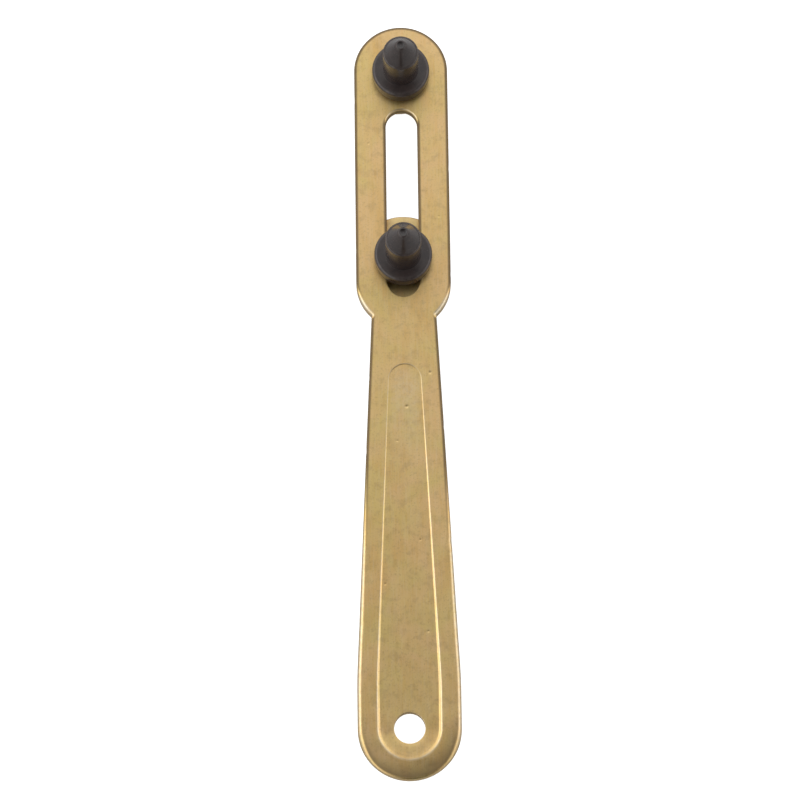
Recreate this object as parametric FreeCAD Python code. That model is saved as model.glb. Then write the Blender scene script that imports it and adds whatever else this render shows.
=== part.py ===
import FreeCAD, Part
import math
import os

# Adjustable two-pin face spanner (pin wrench): a stamped strap handle with a
# slotted head, one pin that stays put and one that slides along the slot.
#
# Frame: the origin is on the fixed pin's axis, at the working face of its
# collar. +Z runs along the pins to their tips, +Y from the handle to the head,
# and X across the strap. Lengths are millimetres.

Vector = FreeCAD.Vector
Z_AXIS = Vector(0, 0, 1)

# Strap handle
plate_thickness = 3.0
head_radius = 12.5
head_top_centre_y = 1.1
slot_radius = 4.2
slot_top_centre_y = -14.2
slot_low_centre_y = -58.1
taper_half_width_at_origin = 5.23
taper_slope = 0.0491
handle_end_radius = 13.3
hang_hole_y = -176.9
hang_hole_radius = 4.0
handle_blend_radius = 150.0
top_edge_rounding = 0.6
bottom_edge_rounding = 0.15

# Recessed panel in the handle's top face. A sloping wall joins its rim to its
# floor; the depth, and with it the wall's width, grows towards the hang hole
panel_margin = 5.3
panel_top_apex_y = -80.9
panel_depth_top = 0.20
panel_depth_end = 0.55
panel_wall_slope = 0.58

# Pins: both are the same turned piece
collar_radius = 7.65
collar_height = 4.2
collar_rounding = 0.9
collar_chamfer = 0.25
pin_radius = 4.7
pin_cylinder_height = 12.0
pin_shoulder_rounding = 0.3
cone_height = 5.5
tip_radius = 1.25
centre_mark_radius = 0.95
centre_mark_depth = 0.55
neck_radius = 5.0
neck_across_flats = 8.2
neck_height = 2.8
neck_fit = 0.05
sliding_pin_y = -51.6

# M8 fasteners behind the plate
shank_radius = 3.95
shank_below_plate = 12.5
shank_end_chamfer = 0.9
washer_bore_radius = 4.2
washer_edge = 0.15
plain_washer_radius = 8.0
plain_washer_thickness = 1.6
guide_washer_radius = 12.5
guide_washer_thickness = 2.0
spring_washer_bore_radius = 4.05
spring_washer_radius = 7.4
spring_washer_thickness = 2.0
spring_washer_gap = 0.9
spring_washer_gap_lean = 25.0
nut_across_flats = 13.0
nut_height = 6.5
nut_bore_radius = 4.02
nut_mouth_radius = 4.35
nut_corner_angle = 30.0
fixed_nut_turn = 4.0
clamp_nut_turn = 8.0

# Levels
plate_top_z = -collar_height
plate_bottom_z = plate_top_z - plate_thickness
tip_z = pin_cylinder_height + cone_height
shank_end_z = plate_bottom_z - shank_below_plate
taper_angle = math.atan(taper_slope)
cut_margin = 1.0


def at(x, y, z=0.0):
    return Vector(x, y, z)


def taper_half_width(y):
    return taper_half_width_at_origin - taper_slope * y


def closed_face(edges):
    return Part.Face(Part.Wire(Part.__sortEdges__(edges)))


def line(start, end):
    return Part.LineSegment(start, end).toShape()


def arc(start, middle, end):
    return Part.Arc(start, middle, end).toShape()


def mirrored(point):
    return at(-point.x, point.y, point.z)


# Handle outline ------------------------------------------------------------

def shoulder_corner():
    """Where the head's lower arc meets the straight taper, on the +X side."""
    a = 1 + taper_slope ** 2
    b = -2 * (slot_low_centre_y + taper_half_width_at_origin * taper_slope)
    c = slot_low_centre_y ** 2 + taper_half_width_at_origin ** 2 - head_radius ** 2
    y = (-b - math.sqrt(b * b - 4 * a * c)) / (2 * a)
    return at(taper_half_width(y), y)


def taper_end(half_width, margin):
    """Where the taper, moved in by the margin, reaches the given half width."""
    offset = margin / math.cos(taper_angle)
    return at(half_width, (taper_half_width_at_origin - offset - half_width) / taper_slope)


def blend_points(corner, radius):
    """Start, middle and end of the arc that softens the end of the taper."""
    half_turn = taper_angle / 2
    run = radius * math.tan(half_turn)
    start = at(corner.x - run * math.sin(taper_angle), corner.y + run * math.cos(taper_angle))
    end = at(corner.x, corner.y - run)
    gap = radius * (1 / math.cos(half_turn) - 1)
    middle = at(corner.x - gap * math.cos(half_turn), corner.y - gap * math.sin(half_turn))
    return start, middle, end


def handle_outline():
    corner = shoulder_corner()
    blend = blend_points(taper_end(handle_end_radius, 0.0), handle_blend_radius)
    head_side = at(head_radius, head_top_centre_y)
    head_low_side = at(head_radius, slot_low_centre_y)
    lean = math.atan2(slot_low_centre_y - corner.y, corner.x) / 2
    low_arc_middle = at(head_radius * math.cos(lean), slot_low_centre_y - head_radius * math.sin(lean))
    end_side = at(handle_end_radius, hang_hole_y)
    edges = []
    for side in (lambda p: p, mirrored):
        edges.append(line(side(head_side), side(head_low_side)))
        edges.append(arc(side(head_low_side), side(low_arc_middle), side(corner)))
        edges.append(line(side(corner), side(blend[0])))
        edges.append(arc(*[side(p) for p in blend]))
        edges.append(line(side(blend[2]), side(end_side)))
    head_apex = at(0, head_top_centre_y + head_radius)
    end_apex = at(0, hang_hole_y - handle_end_radius)
    edges.append(arc(head_side, head_apex, mirrored(head_side)))
    edges.append(arc(end_side, end_apex, mirrored(end_side)))
    return closed_face(edges)


def slot_face(radius, low_y, high_y):
    right = line(at(radius, low_y), at(radius, high_y))
    left = line(at(-radius, low_y), at(-radius, high_y))
    high = arc(at(radius, high_y), at(0, high_y + radius), at(-radius, high_y))
    low = arc(at(radius, low_y), at(0, low_y - radius), at(-radius, low_y))
    return closed_face([right, left, high, low])


def flatted_round(radius, across_flats, height, base_z):
    """A cylinder with two flats that face +X and -X."""
    body = Part.makeCylinder(radius, height, at(0, 0, base_z), Z_AXIS)
    limits = Part.makeBox(across_flats, 4 * radius, height, at(-across_flats / 2, -2 * radius, base_z))
    return body.common(limits)


# Recessed panel ------------------------------------------------------------

def panel_top_centre(margin):
    """Centre of the round top end that touches both moved-in taper lines."""
    cosine = math.cos(taper_angle)
    sine = math.sin(taper_angle)
    reach = taper_half_width_at_origin * cosine - margin
    apex = panel_top_apex_y - (margin - panel_margin)
    radius = (reach - sine * apex) / (1 - sine)
    return apex - radius, radius


def panel_wire(margin_top, margin_end, level):
    """The panel's outline with its top and low end moved in; level gives z from y."""
    top_y, top_radius = panel_top_centre(margin_top)
    end_radius = handle_end_radius - margin_end
    touch_x = top_radius * math.cos(taper_angle)
    touch_y = top_y + top_radius * math.sin(taper_angle)
    corner_y = taper_end(end_radius, margin_end).y
    spots = [(touch_x, touch_y), (end_radius, corner_y), (end_radius, hang_hole_y)]
    right = [at(x, y, level(y)) for x, y in spots]
    left = [mirrored(p) for p in right]
    top_apex_y = top_y + top_radius
    end_apex_y = hang_hole_y - end_radius
    top = at(0, top_apex_y, level(top_apex_y))
    end = at(0, end_apex_y, level(end_apex_y))
    return Part.Wire([
        arc(left[0], top, right[0]),
        line(right[0], right[1]),
        line(right[1], right[2]),
        arc(right[2], end, left[2]),
        line(left[2], left[1]),
        line(left[1], left[0]),
    ])


def panel_floor_z(y):
    length = panel_top_apex_y - (hang_hole_y - handle_end_radius + panel_margin)
    share = (panel_top_apex_y - y) / length
    return plate_top_z - panel_depth_top - share * (panel_depth_end - panel_depth_top)


def panel_recess():
    """The pocket's solid, carried a little above the plate's top face."""
    def rise(depth):
        return depth / panel_wall_slope

    floor = panel_wire(
        panel_margin + rise(panel_depth_top),
        panel_margin + rise(panel_depth_end),
        panel_floor_z,
    )
    overrun = rise(cut_margin)
    mouth = panel_wire(
        panel_margin - overrun,
        panel_margin - overrun,
        lambda y: plate_top_z + cut_margin,
    )
    return Part.makeLoft([floor, mouth], True, True)


# Pieces --------------------------------------------------------------------

def outer_edges(blank, z):
    """The edges round the blank at level z, before its holes are cut."""
    chosen = []
    for edge in blank.Edges:
        box = edge.BoundBox
        if abs(box.ZMin - z) > 1e-6 or abs(box.ZMax - z) > 1e-6:
            continue
        chosen.append(edge)
    return chosen


def handle_plate():
    blank = handle_outline().extrude(at(0, 0, plate_thickness))
    blank.translate(at(0, 0, plate_bottom_z))
    blank = blank.makeFillet(top_edge_rounding, outer_edges(blank, plate_top_z))
    blank = blank.makeFillet(bottom_edge_rounding, outer_edges(blank, plate_bottom_z))
    depth = plate_thickness + 2 * cut_margin
    slot = slot_face(slot_radius, slot_low_centre_y, slot_top_centre_y).extrude(at(0, 0, depth))
    slot.translate(at(0, 0, plate_bottom_z - cut_margin))
    hang_hole = Part.makeCylinder(
        hang_hole_radius, depth, at(0, hang_hole_y, plate_bottom_z - cut_margin), Z_AXIS)
    pin_hole = flatted_round(
        neck_radius + neck_fit, neck_across_flats + 2 * neck_fit, depth, plate_bottom_z - cut_margin)
    return blank.cut(slot).cut(hang_hole).cut(pin_hole).cut(panel_recess())


def revolved(profile_edges):
    face = closed_face(profile_edges)
    return face.revolve(at(0, 0), Z_AXIS, 360)


def polyline(points):
    return [line(a, b) for a, b in zip(points, points[1:])]


def quarter(centre_x, centre_z, radius):
    """A rounding in the XZ plane, from its top to its outer side."""
    diagonal = radius * math.sqrt(0.5)
    return arc(
        at(centre_x, 0, centre_z + radius),
        at(centre_x + diagonal, 0, centre_z + diagonal),
        at(centre_x + radius, 0, centre_z),
    )


def turned_pin(y):
    """Cone, working cylinder and collar over the plate; neck and shank below."""
    shoulder_r = pin_radius - pin_shoulder_rounding
    collar_r = collar_radius - collar_rounding
    neck_low_z = plate_top_z - neck_height
    upper = polyline([
        at(0, 0, tip_z - centre_mark_depth),
        at(centre_mark_radius, 0, tip_z),
        at(tip_radius, 0, tip_z),
        at(shoulder_r, 0, pin_cylinder_height),
    ])
    middle = polyline([
        at(pin_radius, 0, pin_cylinder_height - pin_shoulder_rounding),
        at(pin_radius, 0, 0),
        at(collar_r, 0, 0),
    ])
    lower = polyline([
        at(collar_radius, 0, -collar_rounding),
        at(collar_radius, 0, plate_top_z + collar_chamfer),
        at(collar_radius - collar_chamfer, 0, plate_top_z),
        at(0, 0, plate_top_z),
        at(0, 0, tip_z - centre_mark_depth),
    ])
    roundings = [
        quarter(shoulder_r, pin_cylinder_height - pin_shoulder_rounding, pin_shoulder_rounding),
        quarter(collar_r, -collar_rounding, collar_rounding),
    ]
    body = revolved(upper + middle + lower + roundings)
    neck = flatted_round(neck_radius, neck_across_flats, neck_height, neck_low_z)
    shank = revolved(polyline([
        at(0, 0, neck_low_z),
        at(shank_radius, 0, neck_low_z),
        at(shank_radius, 0, shank_end_z + shank_end_chamfer),
        at(shank_radius - shank_end_chamfer, 0, shank_end_z),
        at(0, 0, shank_end_z),
        at(0, 0, neck_low_z),
    ]))
    pin = body.fuse([neck, shank]).removeSplitter()
    pin.translate(at(0, y, 0))
    return pin


def ring(bore_radius, outer_radius, thickness, edge):
    """A flat ring from z = 0 down, with its four edges broken."""
    return revolved(polyline([
        at(bore_radius + edge, 0, 0),
        at(outer_radius - edge, 0, 0),
        at(outer_radius, 0, -edge),
        at(outer_radius, 0, edge - thickness),
        at(outer_radius - edge, 0, -thickness),
        at(bore_radius + edge, 0, -thickness),
        at(bore_radius, 0, edge - thickness),
        at(bore_radius, 0, -edge),
        at(bore_radius + edge, 0, 0),
    ]))


def washer(outer_radius, thickness, y, top_z):
    solid = ring(washer_bore_radius, outer_radius, thickness, washer_edge)
    solid.translate(at(0, y, top_z))
    return solid


def spring_washer(y, top_z):
    """A single-coil lock washer, pressed flat, with its leaning split at -X."""
    solid = ring(
        spring_washer_bore_radius, spring_washer_radius, spring_washer_thickness, washer_edge)
    reach = 2 * spring_washer_radius
    split = Part.makeBox(
        reach, spring_washer_gap, reach, at(-reach, -spring_washer_gap / 2, -reach / 2))
    split.rotate(at(0, 0, -spring_washer_thickness / 2), Vector(1, 0, 0), spring_washer_gap_lean)
    solid = solid.cut(split)
    solid.translate(at(0, y, top_z))
    return solid


def hex_nut(y, top_z, turn):
    """An M8 hexagon nut below top_z, its corners turned off on both sides."""
    corner_radius = nut_across_flats / math.sqrt(3)
    corners = []
    for index in range(7):
        angle = math.radians(60 * index + turn)
        corners.append(at(corner_radius * math.cos(angle), corner_radius * math.sin(angle), -nut_height))
    prism = Part.Face(Part.makePolygon(corners)).extrude(at(0, 0, nut_height))
    face_radius = nut_across_flats / 2 - washer_edge
    drop = (corner_radius - face_radius) * math.tan(math.radians(nut_corner_angle))
    mouth_drop = nut_mouth_radius - nut_bore_radius
    envelope = revolved(polyline([
        at(nut_mouth_radius, 0, 0),
        at(face_radius, 0, 0),
        at(corner_radius, 0, -drop),
        at(corner_radius, 0, drop - nut_height),
        at(face_radius, 0, -nut_height),
        at(nut_mouth_radius, 0, -nut_height),
        at(nut_bore_radius, 0, mouth_drop - nut_height),
        at(nut_bore_radius, 0, -mouth_drop),
        at(nut_mouth_radius, 0, 0),
    ]))
    nut = prism.common(envelope)
    nut.translate(at(0, y, top_z))
    return nut


def pieces():
    fixed_spring_z = plate_bottom_z - plain_washer_thickness
    clamp_spring_z = plate_bottom_z - guide_washer_thickness
    return {
        "handle_plate": handle_plate(),
        "fixed_pin": turned_pin(0.0),
        "fixed_plain_washer": washer(plain_washer_radius, plain_washer_thickness, 0.0, plate_bottom_z),
        "fixed_spring_washer": spring_washer(0.0, fixed_spring_z),
        "fixed_nut": hex_nut(0.0, fixed_spring_z - spring_washer_thickness, fixed_nut_turn),
        "sliding_pin": turned_pin(sliding_pin_y),
        "guide_washer": washer(
            guide_washer_radius, guide_washer_thickness, sliding_pin_y, plate_bottom_z),
        "clamp_spring_washer": spring_washer(sliding_pin_y, clamp_spring_z),
        "clamp_nut": hex_nut(
            sliding_pin_y, clamp_spring_z - spring_washer_thickness, clamp_nut_turn),
    }


os.makedirs("parts", exist_ok=True)
for name, shape in pieces().items():
    solid = shape.Solids[0]
    box = solid.BoundBox
    print(
        f"{name:22s} solids {len(shape.Solids)} valid {solid.isValid()} volume {solid.Volume:9.1f}"
        f"  x {box.XMin:.2f}..{box.XMax:.2f}  y {box.YMin:.2f}..{box.YMax:.2f}"
        f"  z {box.ZMin:.2f}..{box.ZMax:.2f}"
    )
    solid.exportStep(f"parts/{name}.step")
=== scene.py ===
import math

import bpy
from mathutils import Matrix, Vector
from mathutils.geometry import delaunay_2d_cdt


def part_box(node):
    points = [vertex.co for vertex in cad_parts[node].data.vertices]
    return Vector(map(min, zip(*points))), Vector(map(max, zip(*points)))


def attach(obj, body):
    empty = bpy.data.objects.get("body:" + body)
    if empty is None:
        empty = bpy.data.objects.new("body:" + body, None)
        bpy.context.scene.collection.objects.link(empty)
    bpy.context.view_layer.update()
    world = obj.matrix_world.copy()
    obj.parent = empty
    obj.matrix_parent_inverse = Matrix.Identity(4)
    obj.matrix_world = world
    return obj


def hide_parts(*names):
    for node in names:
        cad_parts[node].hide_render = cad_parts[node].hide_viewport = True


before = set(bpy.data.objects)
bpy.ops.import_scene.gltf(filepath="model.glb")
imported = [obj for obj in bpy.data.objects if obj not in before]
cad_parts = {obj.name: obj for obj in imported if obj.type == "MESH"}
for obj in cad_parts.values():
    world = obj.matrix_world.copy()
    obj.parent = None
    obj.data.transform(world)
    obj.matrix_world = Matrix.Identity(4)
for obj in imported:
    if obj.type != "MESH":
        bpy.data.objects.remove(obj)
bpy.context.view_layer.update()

# The looks of an adjustable two-pin face spanner. Every piece is built from a
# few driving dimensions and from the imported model's own boxes, in metres.
MM = 0.001

# Strap handle: outline, slot and holes
HEAD_RADIUS = 12.5 * MM
HEAD_TOP_Y = 1.1 * MM
SLOT_RADIUS = 4.2 * MM
SLOT_TOP_Y = -14.2 * MM
SLOT_LOW_Y = -58.1 * MM
SHOULDER_FILLET = 0.35 * MM
TAPER_AT_ORIGIN = 5.23 * MM
TAPER_SLOPE = 0.0491
TAPER_BLEND = 150.0 * MM
END_RADIUS = 13.29 * MM
HANG_HOLE_Y = -176.9 * MM
HANG_HOLE_RADIUS = 4.0 * MM
PIN_HOLE_RADIUS = 5.05 * MM
PIN_HOLE_HALF_FLATS = 4.15 * MM

# Strap handle: edges and the pressed panel
EDGE_ROLL_HEAD = 0.46 * MM
EDGE_ROLL_SHOULDER = 0.85 * MM
EDGE_ROLL_HANDLE = 1.15 * MM
EDGE_ROLL_END = 0.55 * MM
SLOT_ROLL = 0.48 * MM
BURR_EDGE = 0.12 * MM
PANEL_MARGIN = 5.0 * MM
PANEL_TOP_Y = -80.6 * MM
PANEL_DEPTH_TOP = 0.06 * MM
PANEL_DEPTH_LOW = 0.52 * MM
PANEL_DEPTH_END = 0.06 * MM
PANEL_WALL_TOP = 0.30 * MM
PANEL_WALL_END = 0.95 * MM
END_DROOP = 0.72 * MM
END_DROOP_REACH = 5.8 * MM

# Strap handle: wear and painted light, where 1 is rubbed bright and -1 is dark. The shoulder value paints
# a highlight; the slot wall, hang hole wall, end and floor values paint shade.
BURR_WEAR = 0.35
SHOULDER_HIGHLIGHT = 0.5
END_SHADE = 0.8
END_SHADE_SHARE = 0.35
FLOOR_SHADE_SHARE = 0.3
PANEL_RUB = 0.28
SLOT_WALL_SHADE = 1.1
HANG_WALL_SHADE = 0.6

# Zones along the strap, as distances below the fixed pin: (from, to)
SLOT_TOP_ZONE = (11.8 * MM, 14.2 * MM)
SLOT_LOW_ZONE = (57 * MM, 60 * MM)
SHOULDER_START_ZONE = (58 * MM, 64 * MM)
SHOULDER_STOP_ZONE = (67 * MM, 68.5 * MM)
PANEL_RUB_ZONE = (84 * MM, 118 * MM)
HANDLE_ROLL_ZONE = (95 * MM, 150 * MM)
SOOT_FADE_ZONE = (105 * MM, 135 * MM)
END_DROOP_ZONE = (-HANG_HOLE_Y - 4 * MM, -HANG_HOLE_Y + 8 * MM)
END_FLOOR_ZONE = (-HANG_HOLE_Y, -HANG_HOLE_Y + 8 * MM)
END_SHADE_ZONE = (173 * MM, 184 * MM)
END_ROLL_ZONE = (180 * MM, 188 * MM)

# Strap handle: the grid of points inside its flat faces, finer at the end
COARSE_SPACING, COARSE_CLEAR = 2.0 * MM, 0.9 * MM
FINE_SPACING, FINE_CLEAR = 0.6 * MM, 0.4 * MM
FINE_GRID_TOP_Y = HANG_HOLE_Y + 8 * MM
GRID_HALF_WIDTH = 14 * MM
GRID_ROW_SHARE = 0.87

# Pins
COLLAR_RADIUS = 7.65 * MM
COLLAR_HEIGHT = 4.2 * MM
COLLAR_ROUNDING = 0.9 * MM
PIN_RADIUS = 4.7 * MM
PIN_CYLINDER = 12.0 * MM
PIN_SHOULDER = 0.45 * MM
CONE_HEIGHT = 5.5 * MM
TIP_RADIUS = 1.25 * MM
TIP_EDGE = 0.12 * MM
CENTRE_MARK = 0.95 * MM
SEAT_RADII = (5.6 * MM, 6.3 * MM)
SEAT_EDGE_RADIUS = 6.62 * MM
NECK_RADIUS = 4.97 * MM
NECK_HALF_FLATS = 4.08 * MM
NECK_HEIGHT = 2.8 * MM
NECK_BEVEL = 0.1 * MM
SHANK_BEVEL = 0.9 * MM
SHANK_END_RADIUS = 2.0 * MM
SLIDING_GAP = 0.02 * MM
RING_GAP = 0.01 * MM

# M8 fasteners
THREAD_PITCH = 1.25 * MM
THREAD_OUTER = 3.95 * MM
THREAD_ROOT = 3.27 * MM
THREAD_PLAY = 0.05 * MM
THREAD_ROWS = 18
THREAD_RUNOUT = (0.3 * MM, 1.4 * MM)
NUT_HALF_FLATS = 6.5 * MM
NUT_FACE_RADIUS = 6.3 * MM
NUT_FACE_MIDDLE = 5.3 * MM
NUT_FACE_FLAT = 0.08 * MM
NUT_FACE_EDGE = 0.02 * MM
NUT_MOUTH_RADIUS = 4.3 * MM
NUT_CHAMFER = math.radians(30)
NUT_CORNER_BREAK = 0.12 * MM
FIXED_NUT_TURN = math.radians(4)
CLAMP_NUT_TURN = math.radians(8)
WASHER_BORE = 4.2 * MM
SPRING_BORE = 4.05 * MM
SPRING_GAP = 0.9 * MM
SPRING_LEAN = math.radians(25)
SPRING_CORNER = 0.22 * MM
SPRING_STEPS = 120

# Camera, floor and light
IMAGE_PIXELS = 800
LENS_PIXELS = 3260
SENSOR_WIDTH = 36
CAMERA_TILT = math.radians(74.8)
CAMERA_TURN = math.radians(-0.754)
CAMERA_PLACE = (-4.3 * MM, -313.8 * MM, 821.8 * MM)
FLOOR_HALF = 3.0
FLOOR_GAP = 0.02 * MM
LIGHT_SIZE = 0.8
LIGHT_TARGET = (0, -0.08, 0)
LIGHTS = (("key", (-0.9, 0.1, 0.9), 1.2), ("fill", (0.9, 0.1, 0.8), 0.8))

# Light from the world, by direction: (from, to, strength at from, strength at to)
LIGHT_BEHIND = (0.0, 0.52, 0.09, 1.14)
LIGHT_LEFT = (-0.08, -0.60, 0.0, 1.25)
LIGHT_RIGHT = (0.35, 0.85, 0.0, 1.15)
SIDE_SHARE_BY_HEIGHT = (0.10, 0.5, 0.6, 1.0)

# Colours of the plating: warm, green, orange, brown and bare metal
STRAP_COLOURS = (
    (0.86, 0.58, 0.260), (0.80, 0.59, 0.220), (0.80, 0.515, 0.19), (0.55, 0.37, 0.16), (0.95, 0.86, 0.68))
FASTENER_COLOURS = (
    (0.74, 0.54, 0.24), (0.68, 0.52, 0.22), (0.72, 0.47, 0.20), (0.50, 0.34, 0.17), (0.88, 0.76, 0.54))
# The colour of painted shade, and of the dark line painted along the outline's edge
DARK_LINE_AND_SHADE = (0.15, 0.11, 0.07)

# Colours of the pins
OXIDE_DARK = (0.035, 0.026, 0.025)
OXIDE_BROWN = (0.052, 0.037, 0.034)
OXIDE_SPECK = (0.10, 0.078, 0.068)
OXIDE_RUBBED = (0.20, 0.17, 0.15)
# Painted shade in the tip's centre mark
OXIDE_HOLLOW_SHADE = (0.008, 0.006, 0.006)

PLATE_LOW, PLATE_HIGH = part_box("handle_plate")
TOP_Z = PLATE_HIGH.z
BOTTOM_Z = PLATE_LOW.z
ROUND_STEPS = 144


# Small tools ---------------------------------------------------------------

def smooth(value, low, high):
    """A soft step from 0 at low to 1 at high."""
    share = min(1.0, max(0.0, (value - low) / (high - low)))
    return share * share * (3 - 2 * share)


def mix(a, b, share):
    return a + (b - a) * share


def below(y, zone):
    """0 above a zone along the strap, 1 below it, and a soft step in it."""
    return smooth(-y, *zone)


def new_piece(name, verts, faces, wear_and_painted_light, body, node, slot, material, sharp=38):
    """A mesh piece with its attribute of wear and painted light, which rides on a body for a CAD node."""
    mesh = bpy.data.meshes.new(name)
    mesh.from_pydata(verts, [], faces)
    mesh.update()
    layer = mesh.attributes.new("wear_and_painted_light", "FLOAT", "POINT")
    layer.data.foreach_set("value", wear_and_painted_light)
    mesh.shade_smooth()
    mesh.set_sharp_from_angle(angle=math.radians(sharp))
    piece = bpy.data.objects.new(name, mesh)
    bpy.context.scene.collection.objects.link(piece)
    piece.data.materials.append(material)
    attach(piece, body)
    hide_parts(node)


# Strap contours: right-hand half paths of (x, y, nx, ny), n into the metal --

def arc_path(cx, cy, radius, start, end, into, step=0.45 * MM):
    """An arc from start to end, in degrees; into is 1 where the metal is outside it."""
    count = max(3, round(abs(math.radians(end - start)) * radius / step))
    path = []
    for index in range(count + 1):
        angle = math.radians(start + (end - start) * index / count)
        c, s = math.cos(angle), math.sin(angle)
        path.append((cx + radius * c, cy + radius * s, into * c, into * s))
    return path


def line_path(x0, y0, x1, y1, nx, ny, step=0.9 * MM):
    """The points of a line without its two ends, which its neighbours hold."""
    count = max(2, round(math.hypot(x1 - x0, y1 - y0) / step))
    return [(mix(x0, x1, i / count), mix(y0, y1, i / count), nx, ny) for i in range(1, count)]


def closed_contour(right_half):
    """Adds the mirrored half; the path's first and last points are on the axis."""
    left = [(-x, y, -nx, ny) for x, y, nx, ny in right_half[-2:0:-1]]
    return right_half + left


def handle_side(margin, from_y):
    """The taper, its blend and the straight run to the end arc, moved in by margin."""
    alpha = math.atan(TAPER_SLOPE)
    c, s = math.cos(alpha), math.sin(alpha)
    edge_x = END_RADIUS - margin
    radius = TAPER_BLEND - margin
    blend_x = edge_x - radius
    reach = TAPER_AT_ORIGIN - margin / c
    blend_y = (reach - blend_x - radius / c) / TAPER_SLOPE
    start_x = reach - TAPER_SLOPE * from_y
    touch_x = blend_x + radius * c
    touch_y = blend_y + radius * s
    path = line_path(start_x, from_y, touch_x, touch_y, -c, -s)
    path += arc_path(blend_x, blend_y, radius, math.degrees(alpha), 0, -1, 1.2 * MM)
    path += line_path(edge_x, blend_y, edge_x, HANG_HOLE_Y, -1, 0)
    path += arc_path(0, HANG_HOLE_Y, edge_x, 0, -90, -1)
    return path


def outline_contour():
    """The strap's outline; a small fillet joins the head's low arc to the taper."""
    scale = math.sqrt(1 + TAPER_SLOPE ** 2)
    reach = TAPER_AT_ORIGIN + SHOULDER_FILLET * scale
    ring = HEAD_RADIUS + SHOULDER_FILLET
    a = 1 + TAPER_SLOPE ** 2
    b = -2 * (SLOT_LOW_Y + reach * TAPER_SLOPE)
    c = SLOT_LOW_Y ** 2 + reach ** 2 - ring ** 2
    fillet_y = (-b - math.sqrt(b * b - 4 * a * c)) / (2 * a)
    fillet_x = reach - TAPER_SLOPE * fillet_y
    arrive = math.degrees(math.atan2(fillet_y - SLOT_LOW_Y, fillet_x))
    leave = 180 + math.degrees(math.atan(TAPER_SLOPE))
    path = arc_path(0, HEAD_TOP_Y, HEAD_RADIUS, 90, 0, -1)
    path += line_path(HEAD_RADIUS, HEAD_TOP_Y, HEAD_RADIUS, SLOT_LOW_Y, -1, 0)
    path += arc_path(0, SLOT_LOW_Y, HEAD_RADIUS, 0, arrive, -1)
    path += arc_path(fillet_x, fillet_y, SHOULDER_FILLET, arrive + 180, leave, 1, 0.08 * MM)[1:]
    path += handle_side(0, path[-1][1])
    return closed_contour(path)


def panel_contour():
    """The panel's edge: a round top, then the handle's sides moved in by the margin."""
    alpha = math.atan(TAPER_SLOPE)
    c, s = math.cos(alpha), math.sin(alpha)
    radius = (TAPER_AT_ORIGIN * c - PANEL_MARGIN - s * PANEL_TOP_Y) / (1 - s)
    path = arc_path(0, PANEL_TOP_Y - radius, radius, 90, math.degrees(alpha), -1, 0.3 * MM)
    path += handle_side(PANEL_MARGIN, path[-1][1])
    return closed_contour(path)


def slot_contour():
    path = arc_path(0, SLOT_TOP_Y, SLOT_RADIUS, 90, 0, 1, 0.22 * MM)
    path += line_path(SLOT_RADIUS, SLOT_TOP_Y, SLOT_RADIUS, SLOT_LOW_Y, 1, 0)
    path += arc_path(0, SLOT_LOW_Y, SLOT_RADIUS, 0, -90, 1, 0.22 * MM)
    return closed_contour(path)


def round_contour(y, radius):
    return closed_contour(arc_path(0, y, radius, 90, -90, 1, 0.2 * MM))


def pin_hole_contour():
    """A round hole with two flats."""
    path = []
    for x, y, nx, ny in arc_path(0, 0, PIN_HOLE_RADIUS, 90, -90, 1, 0.25 * MM):
        path.append((min(x, PIN_HOLE_HALF_FLATS), y, nx, ny))
    return closed_contour(path)


# Strap relief ---------------------------------------------------------------

# Dents and nicks: (x, y, radius, depth) in millimetres
PITS = (
    (0.4, -92.3, 0.42, 0.10), (6.6, -83.2, 0.38, 0.08), (-2.2, -101.5, 0.30, 0.05),
    (3.4, -128.0, 0.34, 0.05), (-8.9, -19.5, 0.30, 0.05), (9.6, -40.2, 0.26, 0.05),
    (-5.8, -139.5, 0.36, 0.05), (5.1, -152.0, 0.30, 0.05),
)
# Edge nicks: (side, y, half length, depth) in millimetres
NICKS = (
    (-1, -7.0, 0.9, 0.22), (1, -26.5, 0.7, 0.16), (-1, -49.0, 0.8, 0.20),
    (-1, -104.0, 0.7, 0.22), (1, -128.5, 0.9, 0.24), (1, -56.0, 0.5, 0.12),
    (-1, -84.5, 0.5, 0.12), (1, -98.0, 0.5, 0.12), (-1, -150.0, 0.7, 0.10),
)


def end_distance(x, y):
    """How far a point is inside the handle end's rounded outline."""
    if y > HANG_HOLE_Y:
        return END_RADIUS - abs(x)
    return END_RADIUS - math.hypot(x, y - HANG_HOLE_Y)


def droop(x, y):
    """The handle end's top face falls away towards its round edge."""
    share = max(0.0, 1 - end_distance(x, y) / END_DROOP_REACH)
    return END_DROOP * share * share * below(y, END_DROOP_ZONE)


def along_panel(y):
    """0 at the panel's top and 1 at its low end."""
    return max(0.0, (PANEL_TOP_Y - y) / (PANEL_TOP_Y - HANG_HOLE_Y + END_RADIUS - PANEL_MARGIN))


def panel_depth(y):
    """The panel grows deeper down the handle, and shallow again past the hang hole."""
    depth = mix(PANEL_DEPTH_TOP, PANEL_DEPTH_LOW, along_panel(y) ** 1.5)
    return mix(depth, PANEL_DEPTH_END, below(y, END_FLOOR_ZONE))


def panel_wall(y):
    """How wide the panel's sloping wall is."""
    return mix(PANEL_WALL_TOP, PANEL_WALL_END, along_panel(y) ** 2)


def pit_drop(x, y):
    """How far the dents lower the surface."""
    drop = 0.0
    for px, py, radius, depth in PITS:
        reach = math.hypot(x - px * MM, y - py * MM) / (radius * MM)
        if reach < 2.5:
            drop += depth * MM * math.exp(-1.6 * reach * reach)
    return drop


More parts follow.
